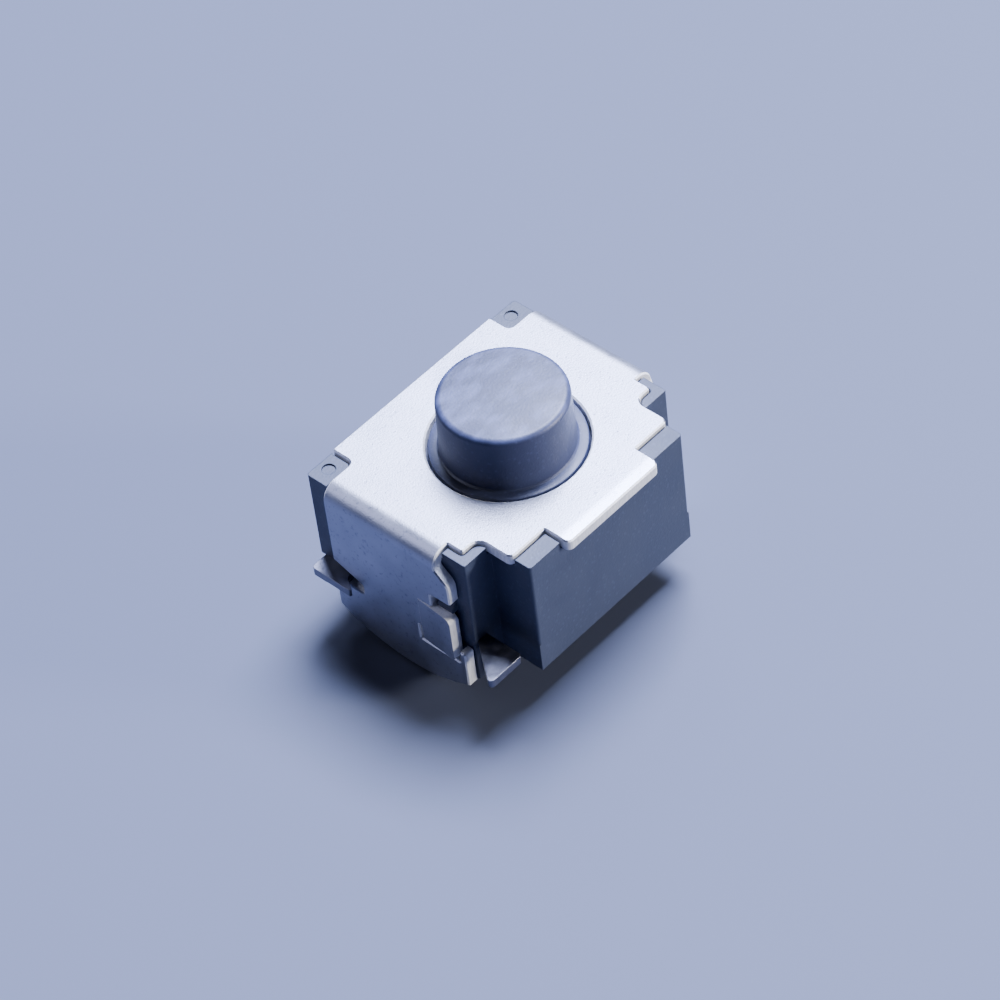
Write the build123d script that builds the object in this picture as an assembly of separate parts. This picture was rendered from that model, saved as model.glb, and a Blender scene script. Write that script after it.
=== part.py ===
from build123d import *
from math import cos, radians, sin, sqrt, tan
import os

# Surface-mount tactile switch. +X runs along the cover between its two end walls, -Y is the side
# with the front lip, +Z is up. The origin is on the resting face, below the axis of the button.
# All sizes are in millimetres, and heights are measured from the resting face.

# Cover, stamped from plated steel strip
sheet = 0.20
cover_length = 5.40
cover_height = 3.22
bend_radius = 0.32
hole_diameter = 2.77
hole_flare = 0.03
rear_edge = 2.17
rear_notch_y = 1.70
front_notch_y = 1.08
notch_x = 1.93
tooth_x = 2.31
neck_front = 0.76
lip_half = 1.12
lip_reach = 2.31
lip_depth = 0.51
lip_fold = 0.19
lip_slope = 9
lip_bend = 0.60
lip_corner = 0.12
edge_break = 0.025
fine_corner = 0.03
cut_corner = 0.05
cut_hollow = 0.12
step_hollow = 0.20
finger_corner = 0.25

# End walls of the cover, with heights measured down from the top face
finger_tip = 1.04
finger_top_drop = 0.57
finger_bottom_drop = 1.02
slot_depth = 0.58
latch_top_drop = 1.34
latch_bottom_drop = 2.29
latch_root = 0.30
latch_lean = 4.5
relief_width = 0.09
relief_height = 0.30
slit = 0.06
hook_width = 0.13
hook_rise = 0.20
wall_arc_radius = 3.00
wall_arc_y = 0.18
wall_lift = 0.02
wall_notch_y = 1.05
wall_notch_slope = 0.13

# Solder lugs and the lead frame that they belong to
lead_sheet = 0.15
lead_height = 1.12
lug_reach = 2.90
lug_inner = 2.19
lug_outer_y = 2.05
lug_corner = 0.07
solder_face_drop = 0.01
rear_lug_y = 1.40
rear_lug_hook_y = 1.10
front_lug_tip = 3.00
front_lug_neck = 0.22
rail_width = 0.34
rear_rail_y = 1.48
tongue_half = 0.32
centre_pad_radius = 0.50
ring_inner_radius = 0.98
ring_outer_radius = 1.44
ring_gap_half = 0.62

# Moulded base
end_gap = 0.02
deck_gap = 0.02
notch_gap = 0.03
post_drop = 0.08
front_face = 2.15
block_half = 1.87
recess_back = 1.28
rear_face = 2.18
post_reach = 2.55
skirt_height = 0.67
core_rear = 1.62
keel_half = 0.62
mould_round = 0.05
nose_reach = 0.13
nose_half = 0.17
nose_tip = 0.06
pin_mark_diameter = 0.24
pin_mark_depth = 0.03
deck_bevel = 0.12

# Dome and film
dome_diameter = 2.56
dome_rise = 0.22
dome_sheet = 0.06
pocket_gap = 0.05
film_sheet = 0.05
film_gap = 0.02
film_edge_gap = 0.03
ledge_rise = 0.23
film_rim = 0.16

# Button
button_diameter = 2.24
button_height = 1.09
button_draft = 0.03
button_round = 0.11
flange_overlap = 0.20
flange_thickness = 0.30
flange_gap = 0.02
well_gap = 0.06
guide_radius = 1.10
guide_depth = 0.50
core_inner_radius = 0.62
core_outer_radius = 0.88
foot_radius = 0.42
foot_gap = 0.01

# Places that follow from those sizes
cover_half = cover_length / 2
front_edge = lip_reach - lip_depth
fold_y = lip_reach - lip_fold
lip_angle = radians(lip_slope)
fold_half = lip_bend * tan(lip_angle / 2)
flat_half = cover_half - bend_radius
cover_underside = cover_height - sheet
hole_radius = hole_diameter / 2
lead_top = lead_height + lead_sheet
end_face = cover_half - sheet - end_gap
deck_height = cover_underside - deck_gap
post_height = cover_height - post_drop
latch_top = cover_height - latch_top_drop
latch_bottom = cover_height - latch_bottom_drop
finger_top = cover_height - finger_top_drop
finger_bottom = cover_height - finger_bottom_drop
hook_far_y = finger_tip + slit + hook_width
dome_radius = dome_diameter / 2
pocket_radius = dome_radius + pocket_gap
ledge_height = lead_top + ledge_rise
film_apex = lead_top + dome_rise + dome_sheet + film_gap
flange_radius = hole_radius + flange_overlap
well_radius = flange_radius + well_gap
film_radius = well_radius - film_edge_gap
flange_top = cover_underside - flange_gap
button_top = cover_height + button_height
foot_height = film_apex + film_sheet + foot_gap
beyond = 2 * cover_length
hair = sheet / 1000


def outline(corners):
    """A closed flat face. Each corner is (across, up, radius of its rounding)."""
    points = [(across, up) for across, up, radius in corners]
    return make_face(FilletPolyline(points, radius=[radius for across, up, radius in corners], close=True))


def mirrored(corners):
    """The corners of one side, followed by their mirror images in the vertical axis, in reverse."""
    return corners + [(-across, up, radius) for across, up, radius in reversed(corners)]


def disc(radius, low, high):
    """An upright cylinder on the button's axis, between two heights."""
    return extrude(Plane.XY.offset(low) * Circle(radius), high - low)


def block(x_low, x_high, y_low, y_high, z_low, z_high):
    """A plain rectangular solid between its limits."""
    middle = ((x_low + x_high) / 2, (y_low + y_high) / 2, (z_low + z_high) / 2)
    return Pos(*middle) * Box(x_high - x_low, y_high - y_low, z_high - z_low)


def wall_arc_height(y):
    """Height of the end wall's curved lower edge at a place along Y."""
    return wall_lift + wall_arc_radius - sqrt(wall_arc_radius**2 - (y - wall_arc_y) ** 2)


def plate_outline():
    """Plan of the cover's flat top: steps at the front corners, one notch at each rear corner."""
    return outline(
        mirrored(
            [
                (lip_half, -front_edge - sheet / 2, 0),
                (lip_half, -front_edge, fine_corner),
                (notch_x, -front_edge, cut_hollow),
                (notch_x, -front_notch_y, step_hollow),
                (tooth_x, -front_notch_y, cut_corner),
                (tooth_x, -neck_front, fine_corner),
                (flat_half, -neck_front, 0),
                (flat_half, rear_notch_y, 0),
                (notch_x, rear_notch_y, cut_hollow),
                (notch_x, rear_edge, cut_corner),
            ]
        )
    )


def wall_outline():
    """Side view of an end wall: neck, upper finger, the opening round the latch, hook and curved foot."""
    hook_top = latch_bottom + hook_rise
    return outline(
        [
            (rear_notch_y, cover_height + sheet, 0),
            (rear_notch_y, lead_top + 2 * wall_notch_slope, cut_corner),
            (wall_notch_y, lead_top + notch_gap, cut_corner),
            (wall_notch_y, lead_height - notch_gap, fine_corner),
            (rear_notch_y, lead_height - notch_gap, cut_hollow),
            (rear_notch_y, -sheet, 0),
            (-hook_far_y, -sheet, 0),
            (-hook_far_y, hook_top, cut_corner),
            (-hook_far_y + hook_width, hook_top, fine_corner),
            (-hook_far_y + hook_width, latch_bottom - slit, fine_corner),
            (-latch_root + relief_width, latch_bottom - slit, fine_corner),
            (-latch_root + relief_width, latch_bottom + relief_height, fine_corner),
            (-latch_root, latch_bottom + relief_height, fine_corner),
            (-latch_root, latch_top, 0),
            (-slot_depth, latch_top, cut_corner),
            (-slot_depth, finger_bottom, cut_corner),
            (-finger_tip, finger_bottom, cut_corner),
            (-finger_tip, finger_top, finger_corner),
            (-neck_front, cover_height - bend_radius, cut_hollow),
            (-neck_front, cover_height + sheet, 0),
        ]
    )


def wall_foot():
    """Side view of what lies above the curved lower edge of an end wall."""
    round_edge = Pos(wall_arc_y, wall_lift + wall_arc_radius) * Circle(wall_arc_radius)
    return round_edge + Pos(0, beyond + lead_height) * Rectangle(beyond, 2 * beyond)


def latch(side):
    """The spring latch of one end wall, which stands out a little from the wall."""
    tongue = outline(
        [
            (-latch_root + relief_width / 2, latch_bottom + relief_height, 0),
            (-latch_root, latch_bottom + relief_height, fine_corner),
            (-latch_root, latch_bottom, fine_corner),
            (-finger_tip, latch_bottom, cut_corner),
            (-finger_tip, latch_top, cut_hollow),
            (-latch_root + relief_width / 2, latch_top, 0),
        ]
    )
    flat = extrude(Plane.YZ.offset(-cover_half) * tongue, sheet)
    root = Axis((-cover_half + sheet / 2, -latch_root, 0), (0, 0, 1))
    leaning = flat.rotate(root, -latch_lean)
    return leaning if side < 0 else mirror(leaning, Plane.YZ)


def lip():
    """The short front tab, which dips a little from a fold line near its end."""
    run = lip_fold + sheet
    fall = run * tan(lip_angle)
    section = outline(
        [
            (-front_edge, cover_height, 0),
            (-fold_y, cover_height, lip_bend),
            (-fold_y - run, cover_height - fall, 0),
            (-fold_y - run, cover_underside - fall, 0),
            (-fold_y, cover_underside, lip_bend - sheet),
            (-front_edge, cover_underside, 0),
        ]
    )
    plan = outline(mirrored([(lip_half, -front_edge + sheet, 0), (lip_half, -lip_reach, lip_corner)]))
    return extrude(Plane.YZ * section, cover_length, both=True) & extrude(plan, cover_height + sheet)


def skin_depth(point):
    """How far a point of the bent sheet lies below its outer skin."""
    over_end = abs(point.X) - flat_half
    above_wall = point.Z - (cover_height - bend_radius)
    if over_end > 0 and above_wall > 0:
        return bend_radius - sqrt(over_end**2 + above_wall**2)
    if over_end > 0:
        return bend_radius - over_end
    over_fold = -point.Y - (fold_y - fold_half)
    if 0 < over_fold < lip_bend * sin(lip_angle):
        return lip_bend - sqrt(over_fold**2 + (point.Z - cover_height + lip_bend) ** 2)
    return cover_height - max(-point.Y - fold_y, 0) * tan(lip_angle) - point.Z


def is_outer_rim(edge):
    """Whether an edge is a sheared edge of the outer skin, and not a line where a bend begins or ends."""
    middle = edge @ 0.5
    on_skin = all(abs(skin_depth(edge @ place)) < hair for place in (0.1, 0.5, 0.9))
    fold_end = (fold_y + fold_half * cos(lip_angle), cover_height - fold_half * sin(lip_angle))
    bends = (
        (abs(middle.X) - flat_half, middle.Z - cover_height),
        (abs(middle.X) - cover_half, middle.Z - cover_height + bend_radius),
        (middle.Y + fold_y - fold_half, middle.Z - cover_height),
        (middle.Y + fold_end[0], middle.Z - fold_end[1]),
    )
    return on_skin and all(max(abs(across), abs(up)) > hair for across, up in bends)


def hole_punch():
    """What the round hole removes from the top, with its slightly flared upper rim."""
    flare = outline(
        [
            (0, cover_underside - sheet, 0),
            (hole_radius, cover_underside - sheet, 0),
            (hole_radius, cover_height - hole_flare, 0),
            (hole_radius + hole_flare, cover_height, 0),
            (hole_radius + hole_flare, cover_height + sheet, 0),
            (0, cover_height + sheet, 0),
        ]
    )
    return revolve(Plane.XZ * flare, Axis.Z)


def make_cover():
    """The cover: a channel of sheet cut to the plan of its top and to the side view of its walls."""
    inner_half, inner_radius = cover_half - sheet, bend_radius - sheet
    outside = outline(mirrored([(cover_half, -sheet, 0), (cover_half, cover_height, bend_radius)]))
    inside = outline(mirrored([(inner_half, -sheet, 0), (inner_half, cover_underside, inner_radius)]))
    channel = extrude(Plane.XZ * (outside - inside), cover_length, both=True)
    plate = channel & extrude(Plane.XY.offset(cover_underside - sheet) * plate_outline(), 3 * sheet)
    side_view = Plane.YZ * (wall_outline() & wall_foot())
    between = block(-flat_half, flat_half, -beyond, beyond, -beyond, beyond)
    walls = (channel & extrude(side_view, cover_length, both=True)) - between
    pressing = plate + walls + lip()
    pressing = chamfer(pressing.edges().filter_by(is_outer_rim), edge_break)
    return pressing + latch(-1) + latch(1) - hole_punch()


def rear_lug():
    """Plan of the rear lug at the left end, whose inner corner is drawn out into a short point."""
    return outline(
        [
            (-lug_inner + lead_sheet, rear_rail_y, 0),
            (-cover_half, rear_lug_y, cut_corner),
            (-lug_reach, rear_lug_hook_y, fine_corner),
            (-lug_reach, lug_outer_y, lug_corner),
            (-lug_inner + lead_sheet, lug_outer_y, 0),
        ]
    )


def front_lug():
    """Plan of the front lug at the left end, which lies free in its recess and widens to its tip."""
    neck_x = lug_inner + front_lug_neck
    return outline(
        [
            (-lug_inner, -recess_back + rail_width, 0),
            (-lug_inner, -lug_outer_y, lug_corner),
            (-front_lug_tip, -lug_outer_y, lug_corner),
            (-neck_x, -recess_back, 0),
            (-neck_x, -recess_back + rail_width, 0),
        ]
    )


def stamping(plan, free_ends):
    """A flat lead-frame stamping, whose solder face below its free end is coined a little proud."""
    blank = extrude(Plane.XY.offset(lead_height) * plan, lead_sheet)
    ends = (plan & free_ends) - Rectangle(2 * lug_inner, beyond)
    return blank + extrude(Plane.XY.offset(lead_height - solder_face_drop) * ends, solder_face_drop)


def make_centre_contact():
    """Rear stamping: a lug, the rail that anchors it, and a tongue to the pad below the dome."""
    rail = Pos(0, rear_rail_y + rail_width / 2) * Rectangle(2 * lug_inner, rail_width)
    tongue = Pos(0, rear_rail_y / 2) * Rectangle(2 * tongue_half, rear_rail_y)
    plan = rail + tongue + Circle(centre_pad_radius) + rear_lug()
    return stamping(plan, Pos(0, rear_notch_y + notch_gap + beyond / 2) * Rectangle(beyond, beyond))


def make_outer_contact():
    """Front stamping: a lug, the rail that anchors it, and the open ring that carries the dome."""
    rail_front = recess_back - deck_gap
    rail = Pos(0, -rail_front + rail_width / 2) * Rectangle(2 * lug_inner, rail_width)
    ring = Circle(ring_outer_radius) - Circle(ring_inner_radius)
    ring -= Pos(0, ring_outer_radius) * Rectangle(2 * ring_gap_half, 2 * ring_outer_radius)
    plan = rail + ring + front_lug()
    return stamping(plan, Pos(0, -recess_back - notch_gap - beyond / 2) * Rectangle(beyond, beyond))


def upper_body():
    """The base above the lugs: end faces, front block, rear posts and the open front corners."""
    plan = outline(
        mirrored(
            [
                (block_half, -front_face, mould_round),
                (block_half, -recess_back, 0),
                (end_face, -recess_back, mould_round / 2),
                (end_face, rear_notch_y + notch_gap, 0),
                (post_reach, rear_notch_y + notch_gap, 0),
                (post_reach, rear_face, mould_round),
            ]
        )
    )
    return extrude(Plane.XY.offset(lead_top) * plan, post_height - lead_top)


def underside_arc(start, end):
    """Side view of the base's underside between two points, level with the walls' curved edge half-way."""
    middle = (start[0] + end[0]) / 2
    return ThreePointArc(start, (middle, wall_arc_height(middle)), end)


def lower_body():
    """The base below the lugs: a core with a keeled, curved underside inside front and rear skirts."""
    keel_front, keel_rear = (wall_arc_y - keel_half, 0), (wall_arc_y + keel_half, 0)
    heel, toe = (-recess_back, wall_arc_height(-recess_back)), (core_rear, wall_arc_height(core_rear))
    profile = Line(keel_front, keel_rear) + underside_arc(keel_rear, toe)
    profile += Polyline(toe, (core_rear, lead_top), (-recess_back, lead_top), heel)
    profile += underside_arc(heel, keel_front)
    core = extrude(Plane.YZ * make_face(profile), end_face, both=True)
    skirt = block(-block_half, block_half, -front_face, rear_face, skirt_height, lead_top)
    return core + skirt


def snap_nose(side):
    """The wedge on an end face that holds the cover by the slot between its finger and its latch."""
    wedge = outline(
        [
            (end_face - end_gap, finger_bottom - notch_gap, 0),
            (end_face - end_gap, latch_top + notch_gap, 0),
            (end_face + nose_reach, latch_top + notch_gap, fine_corner / 2),
            (end_face + nose_reach, latch_top + notch_gap + nose_tip, fine_corner / 2),
        ]
    )
    middle = (slot_depth + finger_tip) / 2
    nose = Pos(0, -middle) * extrude(Plane.XZ * wedge, nose_half, both=True)
    return nose if side > 0 else mirror(nose, Plane.YZ)


def cover_seat():
    """The space above the deck that the cover's top and lip take, with a small gap all round."""
    lip_plan = Pos(0, -(front_edge + lip_reach) / 2) * Rectangle(2 * lip_half, lip_reach - front_edge)
    neck = Pos(0, (rear_notch_y - neck_front) / 2) * Rectangle(cover_length, rear_notch_y + neck_front)
    plan = offset(plate_outline() + lip_plan + neck, notch_gap)
    return extrude(Plane.XY.offset(deck_height) * plan, cover_height)


def bend_reliefs():
    """Bevels on the deck's ends, which clear the inner radius of the cover's bends."""
    across = Plane.XZ * outline(
        [
            (end_face - deck_bevel, deck_height + end_gap, 0),
            (end_face + end_gap, deck_height + end_gap, 0),
            (end_face + end_gap, deck_height - deck_bevel, 0),
        ]
    )
    end_middle, end_length = (rear_notch_y - neck_front) / 2, rear_notch_y + neck_front
    end = Pos(0, end_middle) * extrude(across, end_length / 2, both=True)
    return end + mirror(end, Plane.YZ)


def make_base(leads):
    """The moulded base, formed round the two lead-frame stampings."""
    base = upper_body() + lower_body() + snap_nose(-1) + snap_nose(1)
    base -= cover_seat() + bend_reliefs()
    base -= disc(well_radius, ledge_height, cover_height)
    base -= disc(pocket_radius, lead_top, ledge_height)
    post_middle = ((notch_x + post_reach) / 2, (rear_notch_y + rear_face) / 2 + notch_gap)
    for side in (-1, 1):
        mark = disc(pin_mark_diameter / 2, post_height - pin_mark_depth, cover_height)
        base -= Pos(side * post_middle[0], post_middle[1]) * mark
    for lead in leads:
        base -= lead
    return base


def make_dome():
    """The snap dome: a shallow cap of spring sheet that stands on the ring of the outer contact."""
    curve = (dome_radius**2 + dome_rise**2) / (2 * dome_rise)
    centre = Pos(0, 0, lead_top + dome_rise - curve)
    shell = centre * Sphere(curve + dome_sheet) - centre * Sphere(curve)
    return shell & disc(dome_radius, lead_top, lead_top + dome_rise + 2 * dome_sheet)


def make_film():
    """The film over the dome: a flat rim on the ledge round the pocket and a crowned middle."""
    crown = film_radius - film_rim
    low, apex = ledge_height, film_apex
    rise = apex - low
    half_way = crown / 2
    curve = (crown**2 + rise**2) / (2 * rise)
    half_height = apex - curve + sqrt(curve**2 - half_way**2)
    under = ThreePointArc((0, 0, apex), (half_way, 0, half_height), (crown, 0, low))
    over = Pos(0, 0, film_sheet) * under
    rim = Polyline((crown, 0, low), (film_radius, 0, low), (film_radius, 0, low + film_sheet))
    edge = Line((film_radius, 0, low + film_sheet), (crown, 0, low + film_sheet))
    axis_line = Line((0, 0, apex), (0, 0, apex + film_sheet))
    return revolve(make_face(under + over + rim + edge + axis_line), Axis.Z)


def make_button():
    """The button: a drafted stem, the flange below the cover, a cored guide and the foot on the film."""
    stem = button_diameter / 2
    flange_low = flange_top - flange_thickness
    guide_low = flange_low - guide_depth
    section = outline(
        [
            (0, foot_height, 0),
            (foot_radius, foot_height, 0),
            (core_inner_radius, flange_low, 0),
            (core_outer_radius, flange_low, 0),
            (core_outer_radius, guide_low, 0),
            (guide_radius, guide_low, 0),
            (guide_radius, flange_low, 0),
            (flange_radius, flange_low, 0),
            (flange_radius, flange_top, mould_round),
            (stem + button_draft, flange_top, 0),
            (stem, button_top, button_round),
            (0, button_top, 0),
        ]
    )
    return revolve(Plane.XZ * section, Axis.Z)


def main():
    os.makedirs("parts", exist_ok=True)
    centre_contact = make_centre_contact()
    outer_contact = make_outer_contact()
    solids = {
        "cover_frame": make_cover(),
        "base_housing": make_base([centre_contact, outer_contact]),
        "centre_contact": centre_contact,
        "outer_contact": outer_contact,
        "contact_dome": make_dome(),
        "dome_film": make_film(),
        "button": make_button(),
    }
    for name, solid in solids.items():
        export_step(solid, f"parts/{name}.step")


main()
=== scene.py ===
import bpy
from math import cos, radians, sin
from mathutils import Matrix, Vector


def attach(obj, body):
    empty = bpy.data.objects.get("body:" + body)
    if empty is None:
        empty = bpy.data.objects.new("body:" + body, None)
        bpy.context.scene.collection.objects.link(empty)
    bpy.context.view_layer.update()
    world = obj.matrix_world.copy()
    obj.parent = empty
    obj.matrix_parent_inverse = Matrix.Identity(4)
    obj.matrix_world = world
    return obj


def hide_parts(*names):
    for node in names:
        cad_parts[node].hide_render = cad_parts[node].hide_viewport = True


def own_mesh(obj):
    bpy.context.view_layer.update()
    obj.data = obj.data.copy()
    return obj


# A surface-mount micro switch. A slate-black moulding holds two stamped leads, a snap dome and an
# amber film lie in its well, and a plated steel cover snapped over it keeps the round button in.

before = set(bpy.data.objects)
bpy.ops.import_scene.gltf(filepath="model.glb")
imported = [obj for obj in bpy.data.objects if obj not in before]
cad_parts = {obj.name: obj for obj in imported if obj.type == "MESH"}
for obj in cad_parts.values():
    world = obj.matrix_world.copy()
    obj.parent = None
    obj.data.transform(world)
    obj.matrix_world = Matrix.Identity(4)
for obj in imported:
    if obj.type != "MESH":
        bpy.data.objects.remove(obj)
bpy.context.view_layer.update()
mm = 0.001

# The base is one dark moulding of glass-filled plastic, formed round the leads. Its tool was finely
# spark-eroded, so the skin is satin, with faint flow streaks and pale fibre ends at the surface.


def linear(hex_colour):
    """A colour given as sRGB hex, turned linear, with full alpha."""
    parts = [int(hex_colour[place : place + 2], 16) / 255 for place in (1, 3, 5)]
    return [part / 12.92 if part <= 0.04045 else ((part + 0.055) / 1.055) ** 2.4 for part in parts] + [1.0]


def add(material, kind, inputs=(), **settings):
    """Adds a node to a material with its settings. An input is given a value, or a socket to link to."""
    node = material.node_tree.nodes.new(kind)
    for setting, value in settings.items():
        setattr(node, setting, value)
    for place, value in dict(inputs).items():
        if isinstance(value, bpy.types.NodeSocket):
            material.node_tree.links.new(value, node.inputs[place])
        else:
            node.inputs[place].default_value = value
    return node


def new_material(name):
    """An empty node material with its output, the shader and the place on the piece in object space."""
    material = bpy.data.materials.new(name)
    material.use_nodes = True
    material.node_tree.nodes.clear()
    shader = add(material, "ShaderNodeBsdfPrincipled")
    add(material, "ShaderNodeOutputMaterial", {"Surface": shader.outputs["BSDF"]})
    place = add(material, "ShaderNodeTexCoord").outputs["Object"]
    return material, shader, place


def wire(material, shader, **sockets):
    """Links the named inputs of a shader, such as Base_Color, to the sockets given."""
    for name, socket in sockets.items():
        material.node_tree.links.new(socket, shader.inputs[name.replace("_", " ")])


def dark_moulding(name, dark, light, fleck, low_sheen, high_sheen):
    """Glass-filled polyamide as it leaves the mould: a dark satin skin, fine grain and pale fibre ends.

    The real fibres are about 0.01 mm thick. Their ends are drawn larger here, so that they show.
    """
    material, shader, place = new_material(name)
    streak_size, fleck_size = 0.7 * mm, 0.11 * mm
    grain_size, grain_depth, edge_round = 0.045 * mm, 0.006 * mm, 0.025 * mm
    streaks = add(
        material,
        "ShaderNodeTexNoise",
        {"Vector": place, "Scale": 1 / streak_size, "Detail": 4.0},
    )
    tone = add(
        material,
        "ShaderNodeMix",
        {0: streaks.outputs["Fac"], 6: linear(dark), 7: linear(light)},
        data_type="RGBA",
    )
    flecks = add(material, "ShaderNodeTexVoronoi", {"Vector": place, "Scale": 1 / fleck_size})
    fleck_mask = add(
        material,
        "ShaderNodeMapRange",
        {
            "Value": flecks.outputs["Distance"],
            "From Min": 0.05,
            "From Max": 0.32,
            "To Min": 0.2,
            "To Max": 0.0,
        },
    )
    colour = add(
        material,
        "ShaderNodeMix",
        {0: fleck_mask.outputs["Result"], 6: tone.outputs[2], 7: linear(fleck)},
        data_type="RGBA",
    )
    sheen = add(
        material,
        "ShaderNodeMapRange",
        {
            "Value": streaks.outputs["Fac"],
            "From Min": 0.3,
            "From Max": 0.7,
            "To Min": low_sheen,
            "To Max": high_sheen,
        },
    )
    grain = add(material, "ShaderNodeTexNoise", {"Vector": place, "Scale": 1 / grain_size, "Detail": 3.0})
    corner = add(material, "ShaderNodeBevel", {"Radius": edge_round}, samples=4)
    bump = add(
        material,
        "ShaderNodeBump",
        {
            "Height": grain.outputs["Fac"],
            "Normal": corner.outputs["Normal"],
            "Strength": 0.5,
            "Distance": grain_depth,
        },
    )
    wire(
        material,
        shader,
        Base_Color=colour.outputs[2],
        Roughness=sheen.outputs["Result"],
        Normal=bump.outputs["Normal"],
    )
    shader.inputs["IOR"].default_value = 1.5
    return material


def finish_node(node, material):
    """Gives a carried-over piece its finish."""
    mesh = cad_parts[node].data
    mesh.materials.clear()
    mesh.materials.append(material)


base_skin = dark_moulding("moulded dark polyamide", "#2d3448", "#3a4259", "#5d6784", 0.44, 0.58)
finish_node("base_housing", base_skin)

# The two leads are stamped from bronze strip and tin plated. Each ends in one flat lug that comes out
# of the moulding at the left, with a grey satin skin, a rolled grain and small handling marks.


def tin_plating():
    """Matte tin over bronze: a grey metal, softly mottled, that goes dark where it faces the shadow."""
    material, shader, place = new_material("matte tin plating")
    mottle_size, mark_size, mark_depth, edge_round = 0.16 * mm, 0.05 * mm, 0.006 * mm, 0.02 * mm
    mottle = add(material, "ShaderNodeTexNoise", {"Vector": place, "Scale": 1 / mottle_size, "Detail": 4.0})
    colour = add(
        material,
        "ShaderNodeMix",
        {0: mottle.outputs["Fac"], 6: linear("#5c5d69"), 7: linear("#878894")},
        data_type="RGBA",
    )
    sheen = add(
        material,
        "ShaderNodeMapRange",
        {"Value": mottle.outputs["Fac"], "From Min": 0.3, "From Max": 0.7, "To Min": 0.28, "To Max": 0.46},
    )
    marks = add(material, "ShaderNodeTexNoise", {"Vector": place, "Scale": 1 / mark_size, "Detail": 3.0})
    corner = add(material, "ShaderNodeBevel", {"Radius": edge_round}, samples=4)
    bump = add(
        material,
        "ShaderNodeBump",
        {
            "Height": marks.outputs["Fac"],
            "Normal": corner.outputs["Normal"],
            "Strength": 0.5,
            "Distance": mark_depth,
        },
    )
    wire(
        material,
        shader,
        Base_Color=colour.outputs[2],
        Roughness=sheen.outputs["Result"],
        Normal=bump.outputs["Normal"],
    )
    shader.inputs["Metallic"].default_value = 1.0
    return material


plating = tin_plating()
finish_node("centre_contact", plating)
finish_node("outer_contact", plating)

# The snap dome is a shallow cap blanked and formed from spring steel. It stands loose on the ring of
# the outer lead, and gives way under the button until its middle meets the centre contact.
dome_radius, dome_rise, dome_sheet, lead_top = 1.28 * mm, 0.22 * mm, 0.06 * mm, 1.27 * mm


def turned(name, rings, sides):
    """A closed round piece: one circle that is pulled through rings of (radius, height)."""
    bpy.ops.object.select_all(action="DESELECT")
    radius, height = rings[0]
    bpy.ops.mesh.primitive_circle_add(
        vertices=sides, radius=radius, location=(0, 0, height), fill_type="NGON"
    )
    piece = bpy.context.object
    piece.name = name
    bpy.ops.object.transform_apply(location=True, rotation=True, scale=True)
    bpy.ops.object.mode_set(mode="EDIT")
    bpy.ops.mesh.select_all(action="SELECT")
    bpy.ops.mesh.select_mode(type="EDGE")
    bpy.ops.mesh.region_to_loop()
    for next_radius, next_height in rings[1:]:
        bpy.ops.mesh.extrude_edges_move(TRANSFORM_OT_translate={"value": (0, 0, next_height - height)})
        growth = next_radius / radius
        bpy.ops.transform.resize(value=(growth, growth, 1), center_override=(0, 0, next_height))
        radius, height = next_radius, next_height
    bpy.ops.mesh.edge_face_add()
    bpy.ops.mesh.select_all(action="SELECT")
    bpy.ops.mesh.normals_make_consistent(inside=False)
    bpy.ops.object.mode_set(mode="OBJECT")
    bpy.ops.object.shade_smooth_by_angle(angle=radians(32))
    return piece


def spring_steel():
    """Cold-rolled spring steel, bright from the rolls, with a faint cloudy bloom."""
    material, shader, place = new_material("rolled spring steel")
    cloud_size = 0.3 * mm
    cloud = add(material, "ShaderNodeTexNoise", {"Vector": place, "Scale": 1 / cloud_size, "Detail": 3.0})
    colour = add(
        material,
        "ShaderNodeMix",
        {0: cloud.outputs["Fac"], 6: linear("#b4b6ba"), 7: linear("#cfd1d4")},
        data_type="RGBA",
    )
    wire(material, shader, Base_Color=colour.outputs[2])
    shader.inputs["Roughness"].default_value = 0.26
    shader.inputs["Metallic"].default_value = 1.0
    return material


def cap_fall(radius, edge_radius, rise):
    """How far a round cap's skin lies below its apex at a radius, for its edge radius and its rise."""
    curve = (edge_radius**2 + rise**2) / (2 * rise)
    return curve - (curve**2 - radius**2) ** 0.5


dome_apex = lead_top + dome_rise
dome_under = [
    (dome_radius * share, dome_apex - cap_fall(dome_radius * share, dome_radius, dome_rise))
    for share in (0.12, 0.3, 0.5, 0.68, 0.84, 1.0)
]
dome_over = [(radius, height + dome_sheet) for radius, height in reversed(dome_under)]
dome = turned("snap_dome", dome_under + dome_over, 72)
dome.data.materials.append(spring_steel())
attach(dome, "housing")
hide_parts("contact_dome")
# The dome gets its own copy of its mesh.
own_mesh(dome)

# A thin polyimide film is pressed into a shallow crown over the dome. Its flat rim lies on the ledge
# of the well, and it keeps dust and flux off the contacts.
film_radius, film_sheet, film_rim = 1.615 * mm, 0.05 * mm, 0.16 * mm
ledge_height, film_apex = 1.50 * mm, 1.57 * mm


def amber_film():
    """Polyimide film: clear amber, glossy, a little darker in soft clouds."""
    material, shader, place = new_material("amber polyimide film")
    cloud_size = 0.5 * mm
    cloud = add(material, "ShaderNodeTexNoise", {"Vector": place, "Scale": 1 / cloud_size, "Detail": 3.0})
    colour = add(
        material,
        "ShaderNodeMix",
        {0: cloud.outputs["Fac"], 6: linear("#b46a12"), 7: linear("#d98e2b")},
        data_type="RGBA",
    )
    wire(material, shader, Base_Color=colour.outputs[2])
    shader.inputs["Roughness"].default_value = 0.18
    shader.inputs["IOR"].default_value = 1.7
    shader.inputs["Transmission Weight"].default_value = 0.6
    return material


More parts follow.
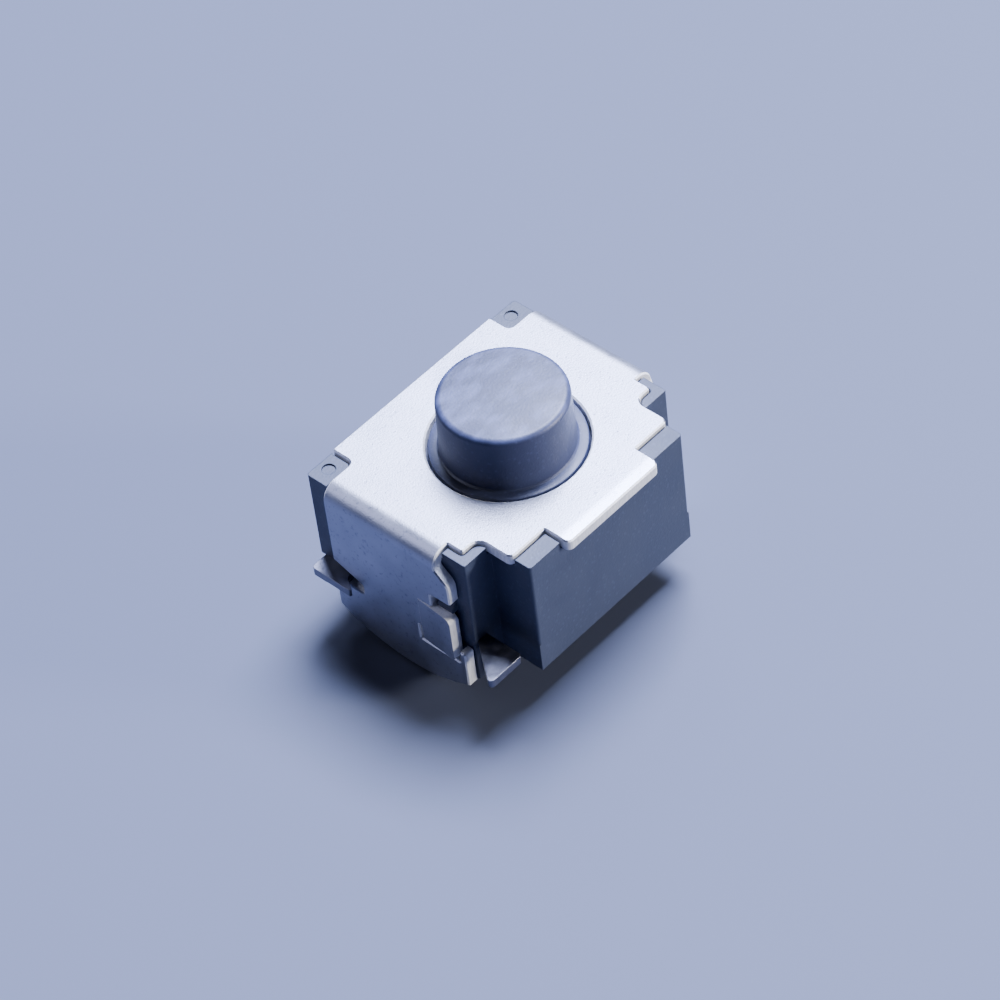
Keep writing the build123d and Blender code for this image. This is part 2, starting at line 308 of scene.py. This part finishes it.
crown_radius = film_radius - film_rim
film_rise = film_apex - ledge_height
film_under = [
    (crown_radius * share, film_apex - cap_fall(crown_radius * share, crown_radius, film_rise))
    for share in (0.15, 0.4, 0.65, 0.85, 1.0)
]
film_under.append((film_radius, ledge_height))
film_over = [(radius, height + film_sheet) for radius, height in reversed(film_under)]
film = turned("dust_film", film_under + film_over, 72)
film.data.materials.append(amber_film())
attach(film, "housing")
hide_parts("dome_film")
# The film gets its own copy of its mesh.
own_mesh(film)

# The button is moulded in one: a stem with a little draft, a low shoulder that fills the cover's hole,
# a flange that the cover holds down, a cored guide below it and a foot on the film. Its top is scuffed,
# and a paler colour painted on the top and its rim also stands in for the sheen of the light there.
stem_radius, shoulder_radius, flange_radius = 1.12 * mm, 1.34 * mm, 1.585 * mm
foot_radius, core_radius, guide_inner, guide_outer = 0.42 * mm, 0.62 * mm, 0.88 * mm, 1.10 * mm
button_top, shoulder_top, flange_top = 4.31 * mm, 3.20 * mm, 3.00 * mm
flange_low, guide_low, foot_height = 2.70 * mm, 2.20 * mm, 1.63 * mm
button_round, flange_round, shoulder_round, stem_fillet = 0.11 * mm, 0.05 * mm, 0.04 * mm, 0.03 * mm
rim_steps = 6
rounded_rim = [
    (
        stem_radius - button_round * (1 - cos(radians(90 * step / rim_steps))),
        button_top - button_round * (1 - sin(radians(90 * step / rim_steps))),
    )
    for step in range(rim_steps + 1)
]
button_rings = [
    (foot_radius, foot_height),
    (core_radius, flange_low),
    (guide_inner, flange_low),
    (guide_inner, guide_low),
    (guide_outer, guide_low),
    (guide_outer, flange_low),
    (flange_radius, flange_low),
    (flange_radius, flange_top - flange_round),
    (flange_radius - 0.3 * flange_round, flange_top - 0.3 * flange_round),
    (flange_radius - flange_round, flange_top),
    (shoulder_radius, flange_top),
    (shoulder_radius, shoulder_top - shoulder_round),
    (shoulder_radius - 0.3 * shoulder_round, shoulder_top - 0.3 * shoulder_round),
    (shoulder_radius - shoulder_round, shoulder_top),
    (stem_radius + 2 * stem_fillet, shoulder_top),
    (stem_radius + stem_fillet, shoulder_top + stem_fillet),
] + rounded_rim
button = turned("push_button", button_rings, 96)


def scuffed_and_sheened_moulding():
    """The dark moulding again, with a paler cloudy colour on the top and its rim: scuffs and a painted
    highlight.
    """
    material = dark_moulding("rubbed dark polyamide with painted top sheen", "#2b304a", "#383f60", "#5c6590", 0.42, 0.54)
    rub_size, top_band_from, top_band_to = 0.22 * mm, button_top - 0.10 * mm, button_top - 0.01 * mm
    nodes = material.node_tree.nodes
    shader = next(node for node in nodes if node.type == "BSDF_PRINCIPLED")
    place = next(node for node in nodes if node.type == "TEX_COORD").outputs["Object"]
    moulded = shader.inputs["Base Color"].links[0].from_socket
    height = add(material, "ShaderNodeSeparateXYZ", {"Vector": place})
    top = add(
        material,
        "ShaderNodeMapRange",
        {
            "Value": height.outputs["Z"],
            "From Min": top_band_from,
            "From Max": top_band_to,
            "To Min": 0.0,
            "To Max": 1.0,
        },
    )
    turn = add(
        material,
        "ShaderNodeMapping",
        {"Vector": place, "Rotation": (0, 0, radians(50)), "Scale": (0.5, 1, 1)},
    )
    rubs = add(
        material,
        "ShaderNodeTexNoise",
        {"Vector": turn.outputs["Vector"], "Scale": 1 / rub_size, "Detail": 6.0},
    )
    rub_mask = add(
        material,
        "ShaderNodeMapRange",
        {"Value": rubs.outputs["Fac"], "From Min": 0.42, "From Max": 0.75, "To Min": 0.0, "To Max": 0.34},
    )
    # The top band times the scuff pattern: where the scuffs are, and where a painted highlight lies on the
    # top.
    scuff_and_sheen = add(
        material,
        "ShaderNodeMath",
        {0: top.outputs["Result"], 1: rub_mask.outputs["Result"]},
        operation="MULTIPLY",
    )
    # The pale blue is partly the scuffs' colour and partly a painted highlight of the light on the top.
    colour = add(
        material, "ShaderNodeMix", {0: scuff_and_sheen.outputs[0], 6: moulded, 7: linear("#757eb0")}, data_type="RGBA"
    )
    wire(material, shader, Base_Color=colour.outputs[2])
    return material


button.data.materials.append(scuffed_and_sheened_moulding())
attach(button, "button")
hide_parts("button")

# The cover is one stamping of nickel-plated steel strip, folded down at both ends. The skin keeps the
# satin of the rolled strip, while the sheared edges are brighter and rougher, as the punch left them.


def rolled_skin():
    """Nickel plate over rolled strip: near white in the light, with soft clouds and many tiny pits."""
    material, shader, place = new_material("nickel-plated steel strip")
    cloud_size, pit_size, speck_size, pit_depth = 0.55 * mm, 0.07 * mm, 0.03 * mm, 0.006 * mm
    cloud = add(material, "ShaderNodeTexNoise", {"Vector": place, "Scale": 1 / cloud_size, "Detail": 6.0})
    tone = add(
        material,
        "ShaderNodeMix",
        {0: cloud.outputs["Fac"], 6: linear("#8d909e"), 7: linear("#b3b6c4")},
        data_type="RGBA",
    )
    pits = add(material, "ShaderNodeTexNoise", {"Vector": place, "Scale": 1 / pit_size, "Detail": 3.0})
    pit_mask = add(
        material,
        "ShaderNodeMapRange",
        {"Value": pits.outputs["Fac"], "From Min": 0.58, "From Max": 0.74, "To Min": 0.0, "To Max": 0.4},
    )
    colour = add(
        material,
        "ShaderNodeMix",
        {0: pit_mask.outputs["Result"], 6: tone.outputs[2], 7: linear("#4c5165")},
        data_type="RGBA",
    )
    sheen = add(
        material,
        "ShaderNodeMapRange",
        {"Value": cloud.outputs["Fac"], "From Min": 0.3, "From Max": 0.7, "To Min": 0.40, "To Max": 0.48},
    )
    specks = add(material, "ShaderNodeTexNoise", {"Vector": place, "Scale": 1 / speck_size, "Detail": 2.0})
    relief = add(
        material,
        "ShaderNodeMath",
        {0: specks.outputs["Fac"], 1: pit_mask.outputs["Result"]},
        operation="SUBTRACT",
    )
    bump = add(
        material,
        "ShaderNodeBump",
        {"Height": relief.outputs[0], "Strength": 0.45, "Distance": pit_depth},
    )
    wire(
        material,
        shader,
        Base_Color=colour.outputs[2],
        Roughness=sheen.outputs["Result"],
        Normal=bump.outputs["Normal"],
    )
    shader.inputs["Metallic"].default_value = 1.0
    return material


def sheared_edge():
    """The cut through the strip: bright and rough, with the upright drag lines that the punch leaves."""
    material, shader, place = new_material("sheared steel edge")
    line_size, line_depth = 0.04 * mm, 0.01 * mm
    lines = add(material, "ShaderNodeMapping", {"Vector": place, "Scale": (1, 1, 0.2)})
    drag = add(
        material,
        "ShaderNodeTexNoise",
        {"Vector": lines.outputs["Vector"], "Scale": 1 / line_size, "Detail": 3.0},
    )
    colour = add(
        material,
        "ShaderNodeMix",
        {0: drag.outputs["Fac"], 6: linear("#cfd0d8"), 7: linear("#fbfaf8")},
        data_type="RGBA",
    )
    bump = add(
        material,
        "ShaderNodeBump",
        {"Height": drag.outputs["Fac"], "Strength": 0.6, "Distance": line_depth},
    )
    wire(material, shader, Base_Color=colour.outputs[2], Normal=bump.outputs["Normal"])
    shader.inputs["Roughness"].default_value = 0.78
    shader.inputs["Metallic"].default_value = 1.0
    return material


merge_reach = 0.0005 * mm
bpy.ops.object.select_all(action="DESELECT")
cover_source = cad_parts["cover_frame"]
cover = bpy.data.objects.new("snap_cover", cover_source.data.copy())
cover.data.transform(cover_source.matrix_world)
bpy.context.scene.collection.objects.link(cover)
bpy.context.view_layer.objects.active = cover
cover.select_set(True)
bpy.ops.object.mode_set(mode="EDIT")
bpy.ops.mesh.select_all(action="SELECT")
bpy.ops.mesh.remove_doubles(threshold=merge_reach)
bpy.ops.object.mode_set(mode="OBJECT")
bpy.ops.mesh.customdata_custom_splitnormals_clear()
bpy.ops.object.shade_smooth_by_angle(angle=radians(30))
cover.data.materials.clear()
cover.data.materials.append(rolled_skin())
cover.data.materials.append(sheared_edge())
# What the punch or the shear has cut gets the second material: the hole, the edges of the flat top
# and those of the end walls. The rolled faces and the bends keep the first.
bend_start, wall_top, hole_reach = 2.38 * mm, 2.85 * mm, 1.45 * mm
for face in cover.data.polygons:
    across, along, up = (abs(part) for part in face.normal)
    in_hole = face.center.xy.length < hole_reach and up < 0.98
    on_plate = abs(face.center.x) < bend_start
    on_wall = not on_plate and face.center.z < wall_top
    cut = along > 0.6 or (on_plate and up < 0.5) or (on_wall and across < 0.5)
    face.material_index = int(in_hole or cut)
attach(cover, "housing")
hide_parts("cover_frame")

# The setting: a plain pale floor, one strong softbox high on the right, a weak one behind, a small lamp
# low in front for the sheared edges, a card that only the bent steel mirrors, and a faint cool surround.
floor_size = 3000 * mm
bpy.ops.object.select_all(action="DESELECT")
bpy.ops.mesh.primitive_plane_add(size=floor_size)
floor = bpy.context.object
floor.name = "floor"
floor_paint, floor_shader = new_material("pale matte board")[:2]
floor_shader.inputs["Base Color"].default_value = linear("#4d536a")
floor_shader.inputs["Roughness"].default_value = 0.7
floor.data.materials.append(floor_paint)

world = bpy.data.worlds.new("cool surround")
world.use_nodes = True
world.node_tree.nodes["Background"].inputs["Color"].default_value = linear("#a4b0de")
world.node_tree.nodes["Background"].inputs["Strength"].default_value = 0.07
bpy.context.scene.world = world


def softbox(name, azimuth, elevation, distance, size, watts, colour):
    """A square area light that faces the switch."""
    light = bpy.data.lights.new(name, "AREA")
    light.size = size
    light.energy = watts
    light.color = linear(colour)[:3]
    lamp = bpy.data.objects.new(name, light)
    bpy.context.scene.collection.objects.link(lamp)
    a, e = radians(azimuth), radians(elevation)
    away = Vector((sin(a) * cos(e), -cos(a) * cos(e), sin(e)))
    lamp.location = away * distance
    lamp.rotation_mode = "QUATERNION"
    lamp.rotation_quaternion = (-away).to_track_quat("-Z", "Y")
    return lamp


softbox("key_light", 106, 60, 400 * mm, 200 * mm, 10.6, "#d4deff")
softbox("back_panel", 141, 43, 400 * mm, 120 * mm, 0.4, "#c8d4ff")
softbox("front_lamp", 36, 14, 300 * mm, 50 * mm, 1.4, "#fffcf8")
bend_card = softbox("left_card", -142, 38, 400 * mm, 250 * mm, 0.8, "#cdd2f4")
bend_card.visible_diffuse = False

# The camera looks down on the corner between the lip side and the left end wall.
azimuth, elevation, roll = radians(-42.6), radians(46.37), radians(7.37)
distance, focal_length = 70.7 * mm, 153.65
aim = Vector((0, 0, 2.27 * mm))
back = Vector((sin(azimuth) * cos(elevation), -cos(azimuth) * cos(elevation), sin(elevation)))
level = Vector((cos(azimuth), sin(azimuth), 0))
upward = back.cross(level)
camera = bpy.data.objects.new("camera", bpy.data.cameras.new("camera"))
bpy.context.scene.collection.objects.link(camera)
camera.location = aim + back * distance
turned_view = Matrix((level * cos(roll) - upward * sin(roll), level * sin(roll) + upward * cos(roll), back))
camera.rotation_mode = "QUATERNION"
camera.rotation_quaternion = turned_view.transposed().to_quaternion()
camera.data.lens = focal_length
camera.data.shift_x, camera.data.shift_y = -0.0133, -0.021
camera.data.clip_start, camera.data.clip_end = 1 * mm, 2000 * mm
bpy.context.scene.camera = camera
